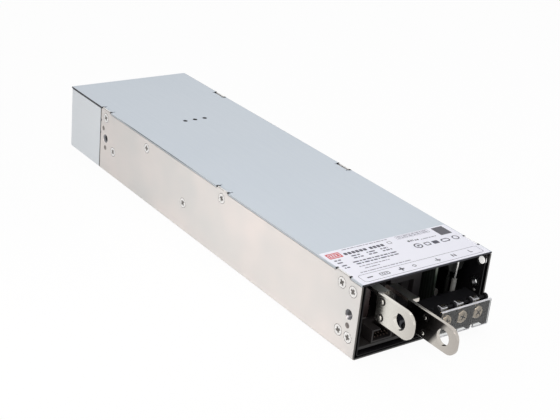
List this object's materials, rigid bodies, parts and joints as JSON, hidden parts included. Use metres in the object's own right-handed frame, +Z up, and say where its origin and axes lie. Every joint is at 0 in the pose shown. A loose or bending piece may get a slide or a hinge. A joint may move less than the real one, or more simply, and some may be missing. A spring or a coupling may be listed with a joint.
{
  "type": "switching power supply",
  "caption": "Low-profile enclosed switching power supply with a folded steel case, flat output bars, a covered screw terminal block and twin fans.",
  "frame": {"origin": "centre of the case's flat bottom face", "axes": "+Z up, -Y out of the open terminal end, +Y out of the fan end, +X towards the line-input terminals' side"},
  "size_m": [0.085, 0.3381, 0.041],
  "materials": {
    "nickel_steel": "warm satin nickel plating on folded steel sheet",
    "zinc_steel": "cool grey zinc-coated steel sheet, satin",
    "black_film": "black insulating film, low sheen",
    "black_plastic": "black moulded plastic",
    "plated_copper": "bright plated copper, slightly warm",
    "brass": "turned brass",
    "clear_plastic": "clear moulded plastic, glossy",
    "blue_plastic": "blue moulded plastic",
    "lamp_plastic": "tinted lamp plastic",
    "circuit_board": "green lacquered glass-fibre board",
    "can_sleeve": "dark shrink sleeve over an aluminium can",
    "copper_wire": "enamelled copper wire",
    "aluminium": "extruded aluminium",
    "film_box": "yellow moulded box",
    "dark_coating": "dark dipped coating",
    "fuse_tube": "ceramic tube with metal caps",
    "ferrite": "dark sintered ferrite",
    "winding_tape": "yellow winding tape"
  },
  "bodies": {
    "case": {"chassis": "nickel_steel", "top_cover": "zinc_steel", "fan_housing": "zinc_steel", "insulation_film": "black_film", "fan_frame_left": "black_plastic", "fan_frame_right": "black_plastic", "busbar_negative": "plated_copper", "busbar_positive": "plated_copper", "terminal_block": "black_plastic", "terminal_plate_1": "brass", "terminal_plate_2": "brass", "terminal_plate_3": "brass", "terminal_clamp_1": "plated_copper", "terminal_clamp_2": "plated_copper", "terminal_clamp_3": "plated_copper", "terminal_screw_1": "brass", "terminal_screw_2": "brass", "terminal_screw_3": "brass", "control_connector": "black_plastic", "trimmer_body": "blue_plastic", "status_light": "lamp_plastic", "main_board": "circuit_board", "standoff_1": "brass", "standoff_2": "brass", "standoff_3": "brass", "standoff_4": "brass", "filter_board": "circuit_board", "control_board": "circuit_board", "output_capacitor_1": "can_sleeve", "output_capacitor_2": "can_sleeve", "output_capacitor_3": "can_sleeve", "output_capacitor_4": "can_sleeve", "output_capacitor_5": "can_sleeve", "output_capacitor_6": "can_sleeve", "output_choke": "copper_wire", "output_heatsink": "aluminium", "line_choke_1": "black_plastic", "line_choke_2": "black_plastic", "line_capacitor_1": "film_box", "line_capacitor_2": "film_box", "inrush_thermistor": "dark_coating", "line_fuse": "fuse_tube", "inrush_relay": "black_plastic", "bridge_rectifier": "black_plastic", "rectifier_heatsink": "aluminium", "transformer_core": "ferrite", "transformer_winding": "winding_tape", "input_heatsink": "aluminium", "boost_choke": "copper_wire", "bulk_capacitor_1": "can_sleeve", "bulk_capacitor_2": "can_sleeve"},
    "left_fan": {"fan_rotor_left": "black_plastic"},
    "right_fan": {"fan_rotor_right": "black_plastic"},
    "clear_cover": {"terminal_cover": "clear_plastic"},
    "adjuster": {"trimmer_screw": "brass"}
  },
  "joints": [
    {"name": "left_fan_spin", "type": "hinge", "parent": "case", "child": "left_fan", "pos_m": [-0.0195, 0.13575, 0.0203], "axis": [0, 1, 0], "continuous": true},
    {"name": "right_fan_spin", "type": "hinge", "parent": "case", "child": "right_fan", "pos_m": [0.0195, 0.13575, 0.0203], "axis": [0, 1, 0], "continuous": true},
    {"name": "cover_hinge", "type": "hinge", "parent": "case", "child": "clear_cover", "pos_m": [0.02055, -0.1555, 0.0193], "axis": [-1, 0, 0], "range_deg": [0, 100]},
    {"name": "adjuster_turn", "type": "hinge", "parent": "case", "child": "adjuster", "pos_m": [-0.0074, -0.1454, 0.0087], "axis": [0, 1, 0], "range_deg": [-130, 130]}
  ]
}
